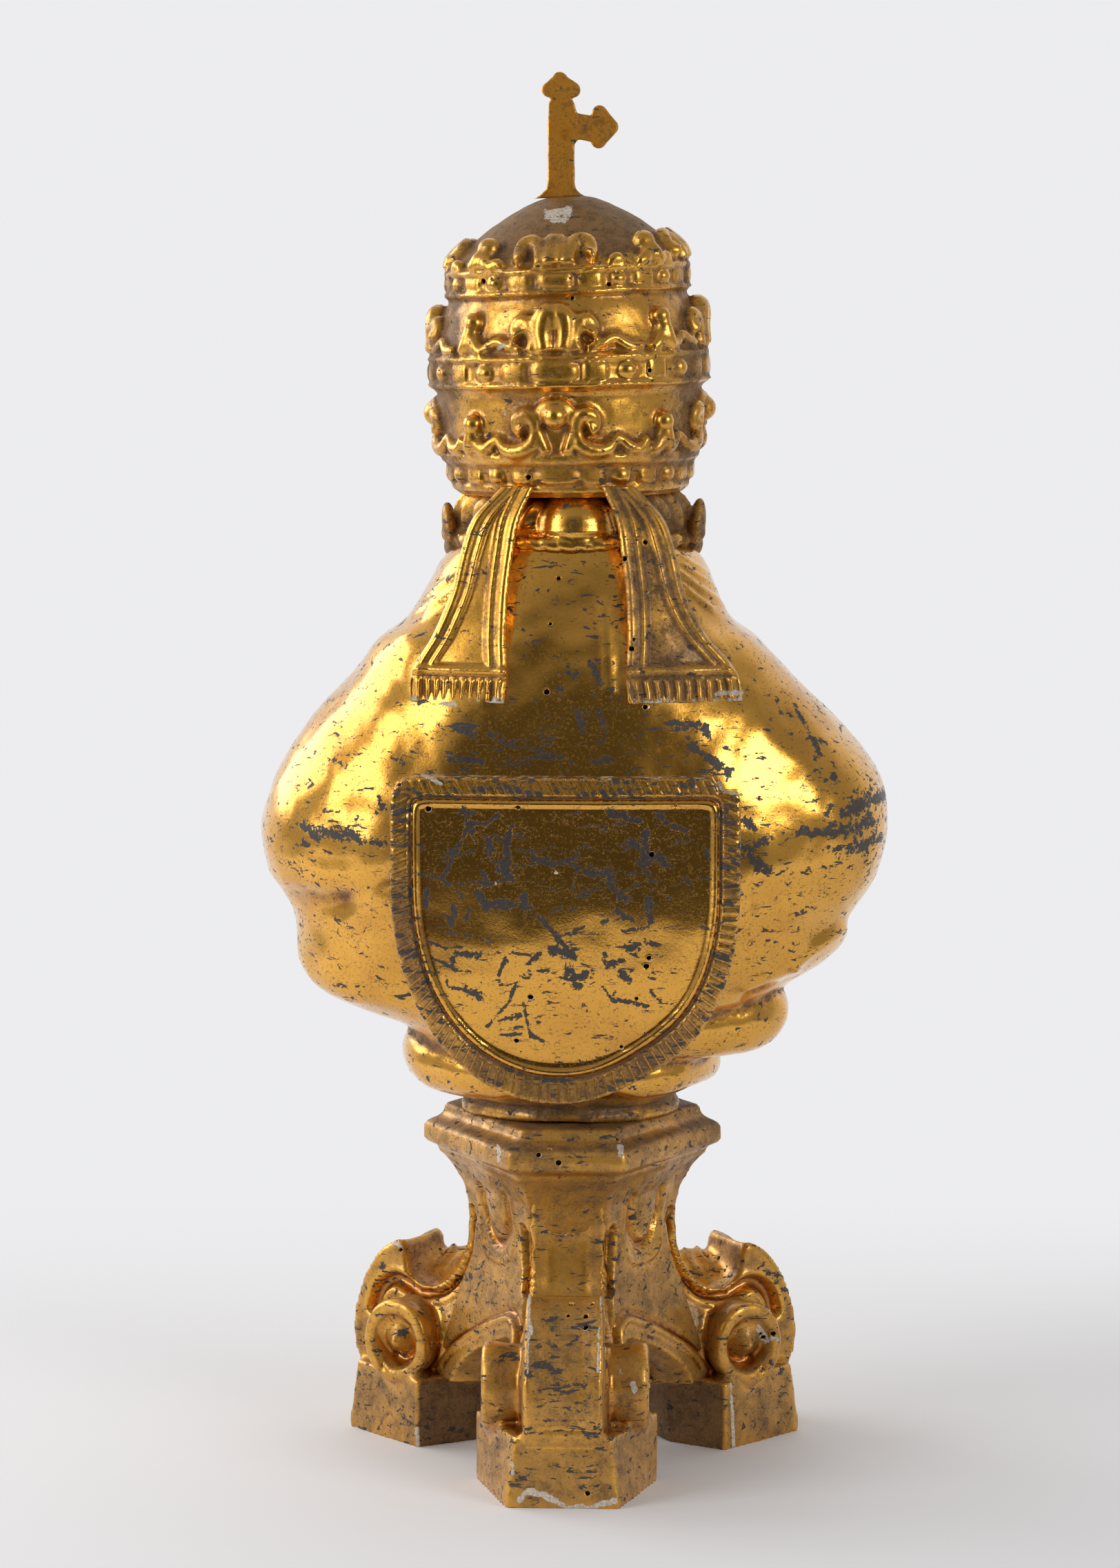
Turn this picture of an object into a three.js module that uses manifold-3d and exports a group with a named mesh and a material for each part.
// Reliquary bust: a gilded figure in a cope and a triple crown, on a three-footed scroll base.
// Millimetres, +Z up. The face looks along -Y, and the back with its hood shield faces +Y.
import * as THREE from 'three';
import { mergeVertices } from 'three/addons/utils/BufferGeometryUtils.js';
import Module from 'manifold-3d';

const wasm = await Module();
wasm.setup();

// Fits
const seatGap = 0.3;

// Base: hexagonal moulded top on three scroll legs
const footCount = 3;
const baseHeight = 137;
const blockHeight = 27;
const footReach = 92.5;
const footFaceHalf = 21.5;
const blockBatter = 2;
const footSideLength = 41.3;
const footSideAngle = THREE.MathUtils.degToRad(72);
const blockDepth = 26;
const legHalf = 15;
const mouldingShort = 50.3;
const mouldingLong = 41.9;
const mouldingFoot = 117;
const torusSwell = 5.4;
const waistLong = 32.4;
const skirtLong = 50.5;
const archHalf = 22;
const archHeight = 41;
const archDepth = 26;
const archSplay = 5;
const volutePlace = [69, 42];
const voluteRadius = 16.5;
const voluteRise = 3.2;
const voluteEye = 7;
const voluteEyeRise = 9;

// Figure: the free form keeps its proportions as shares of this height
const figureHeight = 355;
const socleHeight = 9;

// Triple crown
const crownFoot = 383.5;
const crownUnits = 8;
const beadsPerBand = 16;
const crownSides = 2 * beadsPerBand;
const bandDip = 2.6;
const domeSeat = 11.5;
const domeRise = 108.4;
const beadRise = 2.4;

// Hood shield on the back
const shieldHalf = 66.7;
const shieldTop = 274.8;
const shieldSpring = 235;
const shieldFoot = 149.8;
const shieldBorder = 9.4;
const shieldProud = 8;
const fringeCuts = 22;

// Lappets
const lappetFoot = 302.4;
const lappetThickness = 4.5;
const lappetHem = 10.5;

// Cross
const crossHeight = 48.2;
const crossThickness = 5;
const crossStem = 10.4;
const crossArm = 16.9;

const figureFoot = baseHeight + seatGap;
const unit = figureHeight / 355;

// Joins the shared corners and drops what folds to nothing, so that the mesh is one closed skin.
function solid(geometry) {
  const bare = geometry.clone();
  bare.deleteAttribute('normal');
  bare.deleteAttribute('uv');
  const merged = mergeVertices(bare, 1e-4);
  const corners = merged.index.array;
  const kept = [];
  for (let i = 0; i < corners.length; i += 3) {
    const [a, b, c] = [corners[i], corners[i + 1], corners[i + 2]];
    if (a !== b && b !== c && a !== c) kept.push(a, b, c);
  }
  return new wasm.Manifold(new wasm.Mesh({
    numProp: 3,
    vertProperties: Float32Array.from(merged.attributes.position.array),
    triVerts: Uint32Array.from(kept),
  }));
}

// Moves every vertex of a geometry to the place that a function gives for it.
function moved(geometry, place) {
  const position = geometry.attributes.position;
  const from = new THREE.Vector3();
  for (let i = 0; i < position.count; i += 1) {
    from.fromBufferAttribute(position, i);
    const to = place(from.clone());
    position.setXYZ(i, to.x, to.y, to.z);
  }
  return geometry;
}

function joined(parts) {
  return parts.reduce((whole, part) => whole.add(part));
}

function meshOf(name, manifold, material) {
  const { vertProperties, triVerts } = manifold.getMesh();
  const geometry = new THREE.BufferGeometry();
  geometry.setAttribute('position', new THREE.BufferAttribute(Float32Array.from(vertProperties), 3));
  geometry.setIndex(new THREE.BufferAttribute(Uint32Array.from(triVerts), 1));
  geometry.computeVertexNormals();
  const mesh = new THREE.Mesh(geometry, material);
  mesh.name = name;
  return mesh;
}

// Reads a smooth curve through the rows [place, value, value, ...] of a short table.
function reading(rows, place, column) {
  const last = rows.length - 1;
  let k = 0;
  while (k < last - 1 && place > rows[k + 1][0]) k += 1;
  const row = (i) => rows[THREE.MathUtils.clamp(i, 0, last)];
  const span = row(k + 1)[0] - row(k)[0];
  const t = THREE.MathUtils.clamp((place - row(k)[0]) / span, 0, 1);
  const slope = (i) => {
    const run = row(i + 1)[0] - row(i - 1)[0];
    return run === 0 ? 0 : (row(i + 1)[column] - row(i - 1)[column]) / run;
  };
  const [t2, t3] = [t * t, t * t * t];
  return (2 * t3 - 3 * t2 + 1) * row(k)[column] + (t3 - 2 * t2 + t) * span * slope(k)
    + (3 * t2 - 2 * t3) * row(k + 1)[column] + (t3 - t2) * span * slope(k + 1);
}

// A round form stacked along Z: place(angle, level 0..1, rim 0|1) gives each vertex.
function stacked(sides, levels, place) {
  const geometry = new THREE.CylinderGeometry(1, 1, 1, sides, levels);
  return moved(geometry, (v) => place(Math.atan2(v.x, v.z), v.y + 0.5, Math.hypot(v.x, v.z) > 0.5 ? 1 : 0));
}

// A closed ring of round section: along(angle) gives its centre line, girth(angle) its radius.
function ringed(sides, steps, along, girth) {
  const geometry = new THREE.TorusGeometry(2, 1, sides, steps);
  return moved(geometry, (v) => {
    const angle = Math.atan2(v.y, v.x);
    const outward = Math.hypot(v.x, v.y) - 2;
    const centre = along(angle);
    const radius = girth(angle);
    return new THREE.Vector3(
      centre.x + Math.cos(angle) * outward * radius,
      centre.y + Math.sin(angle) * outward * radius,
      centre.z + v.z * radius,
    );
  });
}

// A round bud, bead or lobe, stretched, turned about Y and put in place.
function bud(place, size, roll = 0, sides = 5, rows = 3) {
  const geometry = new THREE.SphereGeometry(1, sides, rows);
  geometry.rotateX(Math.PI / 2);
  geometry.scale(size.x, size.y, size.z);
  geometry.rotateY(roll);
  geometry.translate(place.x, place.y, place.z);
  return geometry;
}

// Base

// Corner of the three-cornered hexagon whose short faces lie over the feet.
function hexCorner(index, shortDistance, longDistance) {
  const half = (longDistance - shortDistance * 0.5) / Math.sin(Math.PI / 3);
  const foot = Math.floor(index / 2);
  const side = index % 2 === 0 ? -1 : 1;
  const facing = Math.PI / 2 + foot * 2 * Math.PI / footCount;
  return new THREE.Vector2(
    shortDistance * Math.cos(facing) - side * half * Math.sin(facing),
    shortDistance * Math.sin(facing) + side * half * Math.cos(facing),
  );
}

// Rows: height, distance of the short faces, distance of the long faces.
function bodyRows() {
  const short = (swell) => mouldingShort + swell;
  const long = (swell) => mouldingLong + swell;
  const top = baseHeight;
  const rows = [
    [blockHeight - 1, 34, skirtLong],
    [blockHeight + 12, 32, 0.62 * skirtLong + 0.38 * waistLong],
    [blockHeight + 30, 34, 0.26 * skirtLong + 0.74 * waistLong],
    [blockHeight + 50, 37, waistLong + 0.7],
    [blockHeight + 66, 37.5, waistLong],
    [mouldingFoot - 12, 41, waistLong + 1.6],
    [mouldingFoot - 5, 45, waistLong + 5],
    [mouldingFoot, short(-1.2), long(-1.2)],
    [mouldingFoot + 0.2, short(0), long(0)],
    [mouldingFoot + 3, short(0), long(0)],
    [mouldingFoot + 3.6, short(1.4), long(1.4)],
  ];
  const torusFoot = mouldingFoot + 3.8;
  const torusHeight = 9.4;
  for (let k = 0; k <= 4; k += 1) {
    const turn = Math.PI * k / 4;
    const swell = torusSwell - 2.4 * (1 - Math.sin(turn));
    rows.push([torusFoot + torusHeight * (1 - Math.cos(turn)) / 2, short(swell), long(swell)]);
  }
  rows.push([torusFoot + torusHeight + 0.8, short(1.2), long(1.2)]);
  rows.push([top - 2.6, short(-1.8), long(-1.8)]);
  rows.push([top, short(-3), long(-3)]);
  return rows;
}

function baseBody() {
  const rows = bodyRows();
  return solid(stacked(6, rows.length - 1, (angle, level, rim) => {
    const [z, short, long] = rows[Math.round(level * (rows.length - 1))];
    if (rim === 0) return new THREE.Vector3(0, 0, z);
    const index = ((Math.round(angle / (Math.PI / 3)) % 6) + 6) % 6;
    const corner = hexCorner(index, short, long);
    return new THREE.Vector3(corner.x, corner.y, z);
  }));
}

// Outline of a leg seen from its side: out along the first axis, up along the second.
function legOutline() {
  const outline = new THREE.Shape();
  outline.moveTo(12, mouldingFoot + 1);
  outline.lineTo(mouldingShort - 1.5, mouldingFoot + 1);
  outline.bezierCurveTo(41, 112, 36.5, 95, 40.5, 78);
  outline.bezierCurveTo(44, 67, 52, 60, 59, 60);
  outline.bezierCurveTo(66, 60.5, 69.4, 65, 70.5, 77.8);
  outline.bezierCurveTo(81, 76.5, 88, 66, 92, 54);
  outline.bezierCurveTo(95.6, 44, 96, 34, 91.5, blockHeight - 1);
  outline.lineTo(12, blockHeight - 1);
  return outline;
}

// Turns a form built with its outline in the plane of a leg: x is out, y is up, z is across.
function standing(geometry) {
  return moved(geometry, (v) => new THREE.Vector3(v.z, v.x, v.y));
}

function leg() {
  const curveSegments = 5;
  const sheet = new THREE.ExtrudeGeometry(legOutline(), {
    depth: 2 * legHalf, bevelEnabled: false, curveSegments,
  });
  sheet.translate(0, 0, -legHalf);
  const spine = solid(standing(sheet));

  // The cheeks flare inward and carry the volutes.
  const wide = new THREE.ExtrudeGeometry(legOutline(), { depth: 80, bevelEnabled: false, curveSegments });
  wide.translate(0, 0, -40);
  const cheekPlan = new THREE.Shape([
    new THREE.Vector2(-legHalf, 96), new THREE.Vector2(-legHalf, 92), new THREE.Vector2(-33, 47),
    new THREE.Vector2(-22, 24), new THREE.Vector2(22, 24), new THREE.Vector2(33, 47),
    new THREE.Vector2(legHalf, 92), new THREE.Vector2(legHalf, 96),
  ].reverse());
  const cheekBlock = new THREE.ExtrudeGeometry(cheekPlan, { depth: 34, bevelEnabled: false });
  cheekBlock.translate(0, 0, blockHeight - 1);
  const cheeks = solid(cheekBlock).intersect(solid(standing(wide)));

  const block = footBlock();
  const volutes = [-1, 1].map((side) => volute(side));
  return joined([spine, cheeks, block, ...volutes]);
}

function footBlock() {
  const side = new THREE.Vector2(Math.cos(footSideAngle), -Math.sin(footSideAngle)).multiplyScalar(footSideLength);
  const notch = new THREE.Vector2(-Math.sin(Math.PI / 3), -0.5).multiplyScalar(blockDepth);
  const front = new THREE.Vector2(footFaceHalf, footReach);
  const wide = front.clone().add(side);
  const inner = wide.clone().add(notch);
  const half = [front, wide, inner];
  const plan = [...half.map((p) => p.clone()), ...half.map((p) => new THREE.Vector2(-p.x, p.y)).reverse()];
  const geometry = new THREE.ExtrudeGeometry(new THREE.Shape(plan), { depth: blockHeight, bevelEnabled: false });
  const centre = 62;
  return solid(moved(geometry, (v) => {
    const rise = v.z / blockHeight;
    const inset = blockBatter * rise;
    const scaleX = 1 - inset * (v.y > centre ? 1.6 : 0) / Math.max(Math.abs(v.x), 1);
    return new THREE.Vector3(v.x * scaleX, v.y - (v.y > centre ? inset : 0), v.z);
  }));
}

// Scroll end on a cheek: a raised round with a groove and a pointed eye.
function volute(side) {
  const profile = [
    [0, -8], [voluteRadius, -8], [voluteRadius, voluteRise - 1], [voluteRadius - 1.4, voluteRise],
    [voluteEye + 2.4, voluteRise], [voluteEye + 0.6, voluteRise - 2.4], [voluteEye - 1, voluteRise - 1.6],
    [2.2, voluteEyeRise - 1.5], [0, voluteEyeRise],
  ].map(([r, y]) => new THREE.Vector2(r, y));
  const geometry = new THREE.LatheGeometry(profile, 10);
  geometry.rotateZ(-Math.PI / 2);
  const flare = Math.atan2(33 - legHalf, 92 - 47);
  geometry.rotateZ(flare);
  const [out, up] = volutePlace;
  const across = legHalf + (92 - out) * Math.tan(flare);
  geometry.translate(across, out, up);
  if (side > 0) return solid(geometry);
  return solid(mirrored(geometry));
}

function mirrored(geometry) {
  const flipped = geometry.clone();
  flipped.scale(-1, 1, 1);
  const index = flipped.index;
  for (let i = 0; i < index.count; i += 3) {
    const first = index.getX(i);
    index.setX(i, index.getX(i + 1));
    index.setX(i + 1, first);
  }
  return flipped;
}

// Splayed arch that opens each long side between two feet.
function archCut() {
  const outline = new THREE.Shape();
  outline.moveTo(-archHalf, -2);
  outline.lineTo(archHalf, -2);
  outline.bezierCurveTo(archHalf, archHeight * 0.55, archHalf * 0.5, archHeight, 0, archHeight);
  outline.bezierCurveTo(-archHalf * 0.5, archHeight, -archHalf, archHeight * 0.55, -archHalf, -2);
  const geometry = new THREE.ExtrudeGeometry(outline, {
    depth: archDepth + 20, bevelEnabled: false, curveSegments: 5, steps: 2,
  });
  return moved(geometry, (v) => {
    const inward = THREE.MathUtils.clamp((archDepth - v.z) / archDepth, 0, 1);
    const share = 1 - inward * archSplay / archHalf;
    const out = skirtLong - archDepth + v.z;
    return new THREE.Vector3(v.x * share, -out, blockHeight - 1 + v.y * share);
  });
}

// Tongue that hangs under the moulding in the middle of each long side.
function tongue() {
  return bud(new THREE.Vector3(0, -waistLong + 0.2, 101), new THREE.Vector3(8.4, 3.2, 16), 0, 8, 6);
}

function buildBase(material) {
  const legs = [];
  const arches = [];
  const tongues = [];
  for (let k = 0; k < footCount; k += 1) {
    const turn = 2 * Math.PI * k / footCount;
    legs.push(leg().rotate([0, 0, THREE.MathUtils.radToDeg(turn)]));
    arches.push(solid(archCut()).rotate([0, 0, THREE.MathUtils.radToDeg(turn)]));
    tongues.push(solid(tongue()).rotate([0, 0, THREE.MathUtils.radToDeg(turn)]));
  }
  const whole = joined([baseBody(), ...legs, ...tongues]);
  return meshOf('base', whole.subtract(joined(arches)), material);
}

// Figure

// Torso rows in shares of the figure's height: level, half width at +X and at -X, depth behind and before.
const torsoRows = [
  [0.020, 0.116, 0.116, 0.112, 0.118],
  [0.050, 0.140, 0.130, 0.126, 0.136],
  [0.096, 0.186, 0.158, 0.144, 0.164],
  [0.118, 0.236, 0.190, 0.152, 0.176],
  [0.133, 0.272, 0.226, 0.158, 0.186],
  [0.148, 0.290, 0.246, 0.161, 0.192],
  [0.171, 0.302, 0.282, 0.166, 0.202],
  [0.193, 0.303, 0.302, 0.171, 0.210],
  [0.217, 0.306, 0.306, 0.176, 0.217],
  [0.241, 0.318, 0.323, 0.180, 0.221],
  [0.264, 0.336, 0.338, 0.184, 0.224],
  [0.311, 0.344, 0.347, 0.186, 0.225],
  [0.346, 0.337, 0.346, 0.185, 0.222],
  [0.379, 0.324, 0.334, 0.183, 0.217],
  [0.434, 0.286, 0.290, 0.175, 0.205],
  [0.484, 0.238, 0.243, 0.163, 0.191],
  [0.524, 0.209, 0.207, 0.152, 0.176],
  [0.546, 0.179, 0.177, 0.144, 0.168],
  [0.586, 0.155, 0.154, 0.130, 0.148],
  [0.616, 0.136, 0.136, 0.118, 0.126],
  [0.638, 0.104, 0.104, 0.107, 0.104],
];
const torsoSides = 30;
const torsoLevels = 18;
const torsoSquareness = 2.35;

// The neckline sinks in front, so that the bearded face stands clear of the cope.
const necklineDrop = 40;
const necklineSpan = 0.2;

function neckline(z, depthShare) {
  const top = torsoRows[torsoRows.length - 1][0];
  const level = (z - figureFoot) / figureHeight;
  const rise = THREE.MathUtils.clamp((level - top + necklineSpan) / necklineSpan, 0, 1);
  return necklineDrop * unit * rise * rise * depthShare ** 2;
}

function torsoHalves(z) {
  const level = (z - figureFoot) / figureHeight;
  const [left, right, back, front] = [1, 2, 3, 4].map((c) => reading(torsoRows, level, c) * figureHeight);
  return { left, right, back, front };
}

// Depth of the torso's skin at a place, behind (side 1) or before (side -1).
function torsoSkin(x, z, side) {
  let level = z;
  let reach = 0;
  for (let pass = 0; pass < 6; pass += 1) {
    const halves = torsoHalves(level);
    const share = Math.min(Math.abs(x) / (x >= 0 ? halves.left : halves.right), 0.985);
    const fullness = (1 - share ** torsoSquareness) ** (1 / torsoSquareness);
    reach = fullness * (side > 0 ? halves.back : halves.front);
    level = side > 0 ? z : z + neckline(level, fullness);
  }
  return side * reach;
}

function torso() {
  const foot = torsoRows[0][0] * figureHeight + figureFoot;
  const top = torsoRows[torsoRows.length - 1][0] * figureHeight + figureFoot;
  return solid(stacked(torsoSides, torsoLevels, (angle, level, rim) => {
    const z = THREE.MathUtils.lerp(foot, top, level);
    if (rim === 0) return new THREE.Vector3(0, 0, z);
    const halves = torsoHalves(z);
    const [c, s] = [Math.cos(angle), Math.sin(angle)];
    const power = 2 / torsoSquareness;
    const depthShare = Math.abs(s) ** power;
    return new THREE.Vector3(
      Math.sign(c) * Math.abs(c) ** power * (c >= 0 ? halves.left : halves.right),
      Math.sign(s) * depthShare * (s >= 0 ? halves.back : halves.front),
      z - (s < 0 ? neckline(z, depthShare) : 0),
    );
  }));
}

// The folded hem under the cope: one roll at +X, two at -X, and the foot that stands on the base.
function hemRolls() {
  const blend = (angle, plus, minus) => THREE.MathUtils.lerp(minus, plus, (1 + Math.cos(angle)) / 2);
  const roll = (plus, minus) => solid(ringed(7, 20, (angle) => new THREE.Vector3(
    blend(angle, plus.reach, minus.reach) * unit * Math.cos(angle),
    blend(angle, plus.depth, minus.depth) * unit * Math.sin(angle),
    figureFoot + blend(angle, plus.rise, minus.rise) * unit,
  ), (angle) => blend(angle, plus.girth, minus.girth) * unit));
  const upper = roll(
    { reach: 50, depth: 40, rise: 32, girth: 12 },
    { reach: 72, depth: 36, rise: 39.5, girth: 15 },
  );
  const lower = roll(
    { reach: 54, depth: 37, rise: 21.5, girth: 13.5 },
    { reach: 50.5, depth: 37, rise: 18, girth: 8.5 },
  );
  return [upper, lower];
}

function socle() {
  const rows = [[0, 42.5], [3.5, 42.2], [5, 39.5], [7.5, 41], [socleHeight + 4, 44]];
  return solid(stacked(20, rows.length - 1, (angle, level, rim) => {
    const [rise, radius] = rows[Math.round(level * (rows.length - 1))];
    const wave = 1 + 0.02 * Math.sin(5 * angle);
    const reach = rim * radius * unit * wave;
    return new THREE.Vector3(reach * Math.cos(angle), 0.92 * reach * Math.sin(angle), figureFoot + rise * unit);
  }));
}

// Place on the shield's outline, inset from its edge, in the direction of an angle.
function shieldPoint(angle, inset) {
  const [c, s] = [Math.cos(angle), Math.sin(angle)];
  const squareness = s >= 0 ? 9 : 2.2;
  const halfWidth = shieldHalf - inset;
  const rise = s >= 0 ? shieldTop - shieldSpring - inset : shieldSpring - shieldFoot - inset * 1.3;
  const reach = ((Math.abs(c) / halfWidth) ** squareness + (Math.abs(s) / rise) ** squareness) ** (-1 / squareness);
  return new THREE.Vector2(c * reach, s * reach);
}

function shieldSkin(x, z) {
  const rise = (z - shieldFoot) / (shieldTop - shieldFoot);
  const rows = [[0, 48], [0.2, 60.5], [0.4, 68], [0.68, 72.6], [0.84, 73], [1, 71]];
  return reading(rows, rise, 1) * unit - x * x / 900;
}

function shield() {
  const rings = [
    { inset: shieldHalf, raise: 0 }, { inset: 30, raise: 0 }, { inset: shieldBorder + 2, raise: 0 }, { inset: shieldBorder + 0.8, raise: 1.8 },
    { inset: shieldBorder - 0.6, raise: 1 }, { inset: 1.4, raise: 2 }, { inset: 0, raise: 0.4 },
    { inset: 0, raise: -shieldProud - 8 }, { inset: shieldHalf, raise: -shieldProud - 18 },
  ];
  const points = rings.map((ring, k) => new THREE.Vector2(ring.inset >= shieldHalf ? 0 : 1, -k));
  const sides = 2 * fringeCuts;
  return solid(moved(new THREE.LatheGeometry(points, sides), (v) => {
    const ring = rings[Math.round(-v.y)];
    const angle = Math.atan2(v.x, v.z);
    const step = Math.round(angle / (2 * Math.PI) * sides);
    const rib = ring.inset > 0.5 && ring.inset < shieldBorder && ring.raise > 0 ? 0.7 : 0;
    const centred = ring.inset >= shieldHalf;
    const flat = centred ? new THREE.Vector2(0, 0) : shieldPoint(angle, ring.inset);
    const z = shieldSpring + flat.y;
    const raise = ring.raise + (step % 2 === 0 ? rib : -rib);
    return new THREE.Vector3(flat.x, shieldSkin(flat.x, z) + raise, z);
  }));
}

// Lappet rows: share of its length from the hem, inner edge, outer edge, depth behind the axis.
const lappetRows = [
  [0, 23.5, 60, 62],
  [0.14, 22.6, 59, 60.6],
  [0.3, 23, 51.5, 57.6],
  [0.5, 22.4, 44.6, 53.6],
  [0.7, 20.4, 40.6, 50],
  [0.85, 18.2, 36, 47],
  [1, 12.5, 25, 43],
];

function lappet(side) {
  const top = crownFoot;
  const across = 6;
  const along = 9;
  const geometry = new THREE.BoxGeometry(1, 1, 1, across, 1, along);
  return solid(moved(geometry, (v) => {
    const length = v.z + 0.5;
    const [inner, outer, depth] = [1, 2, 3].map((c) => reading(lappetRows, length, c) * unit);
    const share = v.x + 0.5;
    const x = THREE.MathUtils.lerp(side > 0 ? inner : -outer, side > 0 ? outer : -inner, share);
    const z = THREE.MathUtils.lerp(lappetFoot, top, length);
    const edge = Math.min(share, 1 - share) < 0.18 ? 1.2 : 0;
    const hem = (z - lappetFoot) < lappetHem ? 0.9 : 0;
    const back = depth - x * x / (280 * unit);
    const raise = v.y > 0 ? Math.max(edge, hem) : -lappetThickness - 5;
    return new THREE.Vector3(x, back + raise, z);
  }));
}

// Crown of three bands: profile from the foot up, radius and height above the crown's foot.
function crownProfile() {
  const band = (foot, height, radius) => [
    [radius - 3, foot - 0.4], [radius, foot + 0.9], [radius - 2, foot + 2.9],
    [radius - 2, foot + height / 2, beadRise], [radius - 2, foot + height - 2.9],
    [radius, foot + height - 0.9], [radius - 3, foot + height + 0.5],
  ];
  return [
    [0, -1], [42, -1],
    ...band(0.5, 10.2, 50.6), [49.6, 24], [50.4, 34],
    ...band(37.2, 12.4, 55.2), [50, 55], [47.6, 66],
    ...band(72, 10.5, 48.2), [43.2, 86.5], [34, 95], [23, 102.6],
    [domeSeat, domeRise], [0, domeRise],
  ];
}

// The crown leans toward +X as it rises, and its bands dip on that side.
function crownLean(v) {
  const rise = v.z - crownFoot;
  const dip = Math.tan(THREE.MathUtils.degToRad(0.6 + (bandDip - 0.6) * rise / (75 * unit)));
  const centre = 0.6 + 0.0155 * rise;
  return new THREE.Vector3(v.x + centre, v.y - 3 * unit, v.z - v.x * dip);
}

function crown() {
  const rows = crownProfile();
  const profile = rows.map(([r], k) => new THREE.Vector2(r * unit, k));
  const geometry = new THREE.LatheGeometry(profile, crownSides);
  return solid(moved(geometry, (v) => {
    const [, rise, bead = 0] = rows[Math.round(v.y)];
    const step = Math.round(Math.atan2(v.x, v.z) / (2 * Math.PI) * crownSides);
    const reach = Math.hypot(v.x, v.z);
    const swell = reach > 0 ? 1 + (step % 2 === 0 ? 0 : bead * unit) / reach : 1;
    return crownLean(new THREE.Vector3(v.z * swell, v.x * swell, crownFoot + rise * unit));
  }));
}

// Puts a form built at the origin, facing +Y, on the crown at an angle from the back.
function onCrown(geometry, angle, radius, rise) {
  geometry.translate(0, radius * unit, 0);
  geometry.rotateZ(angle);
  geometry.translate(0, 0, crownFoot + rise * unit);
  return solid(moved(geometry, crownLean));
}

// A three-lobed leaf that stands on a band, swelling outward along +Y.
function leafForm() {
  const lobe = (angle, at, width) => Math.exp(-(((angle - at) / width) ** 2));
  return moved(new THREE.SphereGeometry(1, 12, 3), (v) => {
    const angle = Math.abs(Math.atan2(v.x, v.z));
    const reach = 5 + 8.6 * lobe(angle, 0, 0.5) + 8.4 * lobe(angle, 1.6, 0.42);
    const flat = Math.hypot(v.x, v.z) * reach * unit;
    const turn = Math.atan2(v.x, v.z);
    return new THREE.Vector3(flat * Math.sin(turn), v.y * 4.4 * unit, flat * Math.cos(turn) + 2 * unit);
  });
}

// A ball on a short stem.
function finialForm() {
  const profile = [[0, -2], [2.4, -2], [2, 4], [3.9, 7.2], [3.4, 11.4], [0, 12.6]];
  const geometry = new THREE.LatheGeometry(profile.map(([r, z]) => new THREE.Vector2(r * unit, z * unit)), 6);
  return moved(geometry, (v) => new THREE.Vector3(v.z, v.x + 0.1 * v.y, v.y));
}

function crownTrim() {
  const crests = [
    { rise: 11.5, radius: 49.4 },
    { rise: 50.3, radius: 50.8 },
    { rise: 83, radius: 43.8 },
  ];
  return crests.flatMap(({ rise, radius }) => [...Array(crownUnits).keys()].map((k) => {
    const form = k % 2 === 0 ? leafForm() : finialForm();
    return onCrown(form, 2 * Math.PI * k / crownUnits, radius, rise);
  }));
}

// Head under the crown, looking along -Y.
const headCentre = { x: 0, y: -7, z: 362 };
const headHalf = { x: 43, back: 43, front: 43, up: 27, down: 37 };

function headSkin(v) {
  const [x, y, z] = [v.x, v.y, v.z];
  const front = Math.max(0, -y);
  const hill = (cx, cz, wx, wz) => Math.exp(-(((x - cx) / wx) ** 2) - (((z - cz) / wz) ** 2));
  const pair = (cx, cz, wx, wz) => hill(cx, cz, wx, wz) + hill(-cx, cz, wx, wz);
  const relief = 9 * hill(0, 0.02, 0.13, 0.24) + 2.6 * hill(0, 0.62, 0.5, 0.13) - 4.2 * pair(0.32, 0.36, 0.16, 0.13)
    + 2.6 * pair(0.42, -0.02, 0.2, 0.2) + 2.4 * hill(0, -0.36, 0.26, 0.07) + 4.5 * hill(0, -0.72, 0.42, 0.22)
    - 1.6 * hill(0, -0.47, 0.3, 0.05);
  const half = y > 0 ? headHalf.back : headHalf.front;
  const rise = z > 0 ? headHalf.up : headHalf.down;
  return new THREE.Vector3(
    (headCentre.x + x * headHalf.x) * unit,
    (headCentre.y + y * half - relief * front) * unit,
    headCentre.z + z * rise * unit,
  );
}

function head() {
  const geometry = new THREE.SphereGeometry(1, 20, 15);
  geometry.rotateX(Math.PI / 2);
  return solid(moved(geometry, headSkin));
}

function headTrim() {
  const size = (x, y, z) => new THREE.Vector3(x * unit, y * unit, z * unit);
  const at = (x, y, z) => new THREE.Vector3(x * unit, y * unit, headCentre.z + (z - headCentre.z) * unit);
  const ears = [[46.5, -3, 363, 4.2], [-47.5, -3, 365, 4.6]].map(([x, y, z, w]) => bud(
    at(x, y, z), size(w, 7, 11.5), 0.12 * Math.sign(x), 6, 4,
  ));
  const curls = [[40, 14, 373], [-41, 14, 375]].map(([x, y, z]) => bud(at(x, y, z), size(7.5, 12, 8.5), 0, 6, 4));
  const beards = [-1, 1].map((side) => bud(at(38 * side, -8, 357), size(9, 16, 13), 0, 6, 4));
  const nape = bud(at(0, 36, 372.5), size(15.5, 9, 8.5), 0, 8, 4);
  return [...ears, ...curls, ...beards, nape].map(solid);
}

// Rope band round the collar.
function collar() {
  const height = 361.5;
  return solid(ringed(5, 20, (angle) => {
    const halves = torsoHalves(height - 1);
    return new THREE.Vector3(
      (Math.cos(angle) >= 0 ? halves.left : halves.right) * Math.cos(angle),
      (Math.sin(angle) >= 0 ? halves.back : halves.front) * Math.sin(angle),
      height,
    );
  }, () => 2.7 * unit));
}

// Front edges of the cope, its clasp and the blind oval field on the chest.
const frontFoot = 172;
const frontTop = 346;

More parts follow.
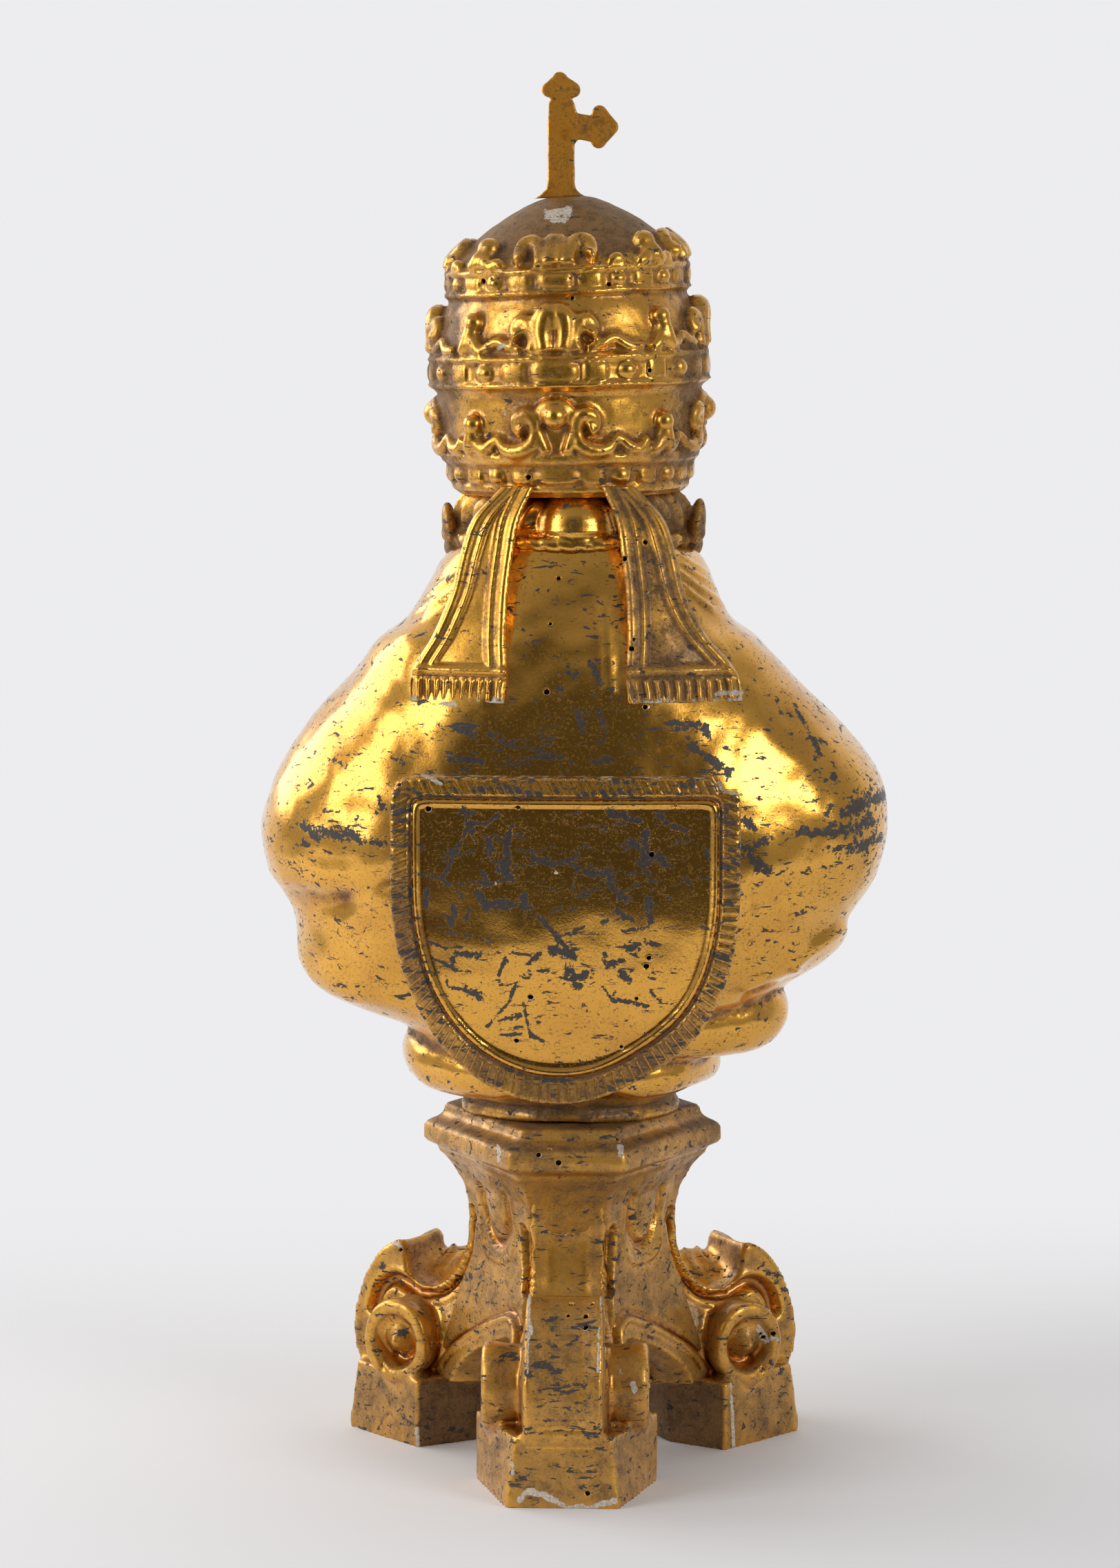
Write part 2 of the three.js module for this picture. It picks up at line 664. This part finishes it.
function frontBand(side) {
  const geometry = new THREE.BoxGeometry(1, 1, 1, 2, 1, 8);
  return solid(moved(geometry, (v) => {
    const rise = v.z + 0.5;
    const z = THREE.MathUtils.lerp(frontFoot, frontTop, rise);
    const spread = THREE.MathUtils.lerp(34, 14, Math.sin(rise * Math.PI / 2)) * unit;
    const x = side * spread + v.x * 15 * unit;
    const y = torsoSkin(x, z, -1) + (v.y < 0 ? -2.6 : 6) * unit;
    return new THREE.Vector3(x, y, z);
  }));
}

function clasp() {
  const z = 318;
  const y = torsoSkin(0, z, -1);
  return solid(bud(new THREE.Vector3(0, y - unit, z), new THREE.Vector3(15, 7, 11).multiplyScalar(unit), 0, 10, 6));
}

function ovalField() {
  const [centreZ, halfX, halfZ] = [250, 21, 29];
  const profile = [[0, 3], [0.78, 3], [0.82, 4.6], [0.92, 5.2], [1, 3.4], [1.02, -4], [0, -4]];
  const geometry = new THREE.LatheGeometry(profile.map(([r, y]) => new THREE.Vector2(r, -y)), 18);
  return solid(moved(mirrored(geometry), (v) => {
    const x = v.x * halfX * unit;
    const z = centreZ + v.z * halfZ * unit;
    return new THREE.Vector3(x, torsoSkin(x, z, -1) + v.y * unit, z);
  }));
}

function buildBust(material) {
  const parts = [
    torso(), ...hemRolls(), socle(), shield(), lappet(1), lappet(-1), head(), ...headTrim(), collar(),
    frontBand(1), frontBand(-1), clasp(), ovalField(), crown(), ...crownTrim(),
  ];
  return meshOf('bust', joined(parts), material);
}

// Cross: a thin board with budded ends, its arm at +X broken off flush. Outline from the foot's middle.
function crossOutline() {
  const half = crossStem / 2;
  const bud = 3;
  const collarRise = 6;
  const armRise = crossHeight - 21;
  const outline = new THREE.Shape();
  outline.moveTo(domeSeat - 0.8, 0);
  outline.quadraticCurveTo(half + 1.2, 1.4, half, collarRise);
  outline.lineTo(half - 0.2, crossHeight - 12);
  outline.absarc(half - 0.7, crossHeight - 6.8, bud, -0.6 * Math.PI, 0.3 * Math.PI, false);
  outline.absarc(0.4, crossHeight - bud, bud, 0.12 * Math.PI, 0.88 * Math.PI, false);
  outline.absarc(-half + 0.7, crossHeight - 6.8, bud, 0.7 * Math.PI, 1.6 * Math.PI, false);
  outline.lineTo(-half + 0.2, crossHeight - 12);
  outline.lineTo(-half - 1, armRise + half);
  outline.lineTo(-half - crossArm + 10.5, armRise + half - 0.8);
  outline.absarc(-half - crossArm + 7.2, armRise + half, bud, 0, 0.85 * Math.PI, false);
  outline.absarc(-half - crossArm + bud, armRise, bud, 0.7 * Math.PI, 1.3 * Math.PI, false);
  outline.absarc(-half - crossArm + 7.6, armRise - half, bud, 1.1 * Math.PI, 1.95 * Math.PI, false);
  outline.lineTo(-half - 1.4, armRise - half + 0.4);
  outline.lineTo(-half, armRise - half - 1.6);
  outline.lineTo(-half, collarRise);
  outline.quadraticCurveTo(-half - 1.2, 1.4, -domeSeat + 0.8, 0);
  return outline;
}

function buildCross(material) {
  const seat = crownLean(new THREE.Vector3(0, 0, crownFoot + domeRise * unit));
  const dip = domeSeat * Math.tan(THREE.MathUtils.degToRad(bandDip + 1.2));
  const geometry = new THREE.ExtrudeGeometry(crossOutline(), {
    depth: crossThickness, bevelEnabled: false, curveSegments: 4,
  });
  geometry.translate(0, 0, -crossThickness / 2);
  geometry.rotateX(Math.PI / 2);
  moved(geometry, (v) => new THREE.Vector3(v.x, v.y, v.z < seatGap ? -v.x * dip / domeSeat : v.z));
  geometry.translate(seat.x + 1.9, seat.y, seat.z + seatGap);
  return meshOf('cross', solid(geometry), material);
}

const gilding = new THREE.MeshStandardMaterial({ color: 0xc8962f, roughness: 0.35, metalness: 0.9 });
const wornGilding = new THREE.MeshStandardMaterial({ color: 0xa67a3a, roughness: 0.55, metalness: 0.6 });
const crossGilding = new THREE.MeshStandardMaterial({ color: 0xb0812f, roughness: 0.5, metalness: 0.7 });

const reliquary = new THREE.Group();
reliquary.add(buildBase(wornGilding), buildBust(gilding), buildCross(crossGilding));

// The origin sits under the middle of the whole, at the floor.
const bounds = new THREE.Box3().setFromObject(reliquary);
const middle = bounds.getCenter(new THREE.Vector3());
reliquary.position.set(-middle.x, -middle.y, -bounds.min.z);
reliquary.updateMatrixWorld(true);

export default reliquary;
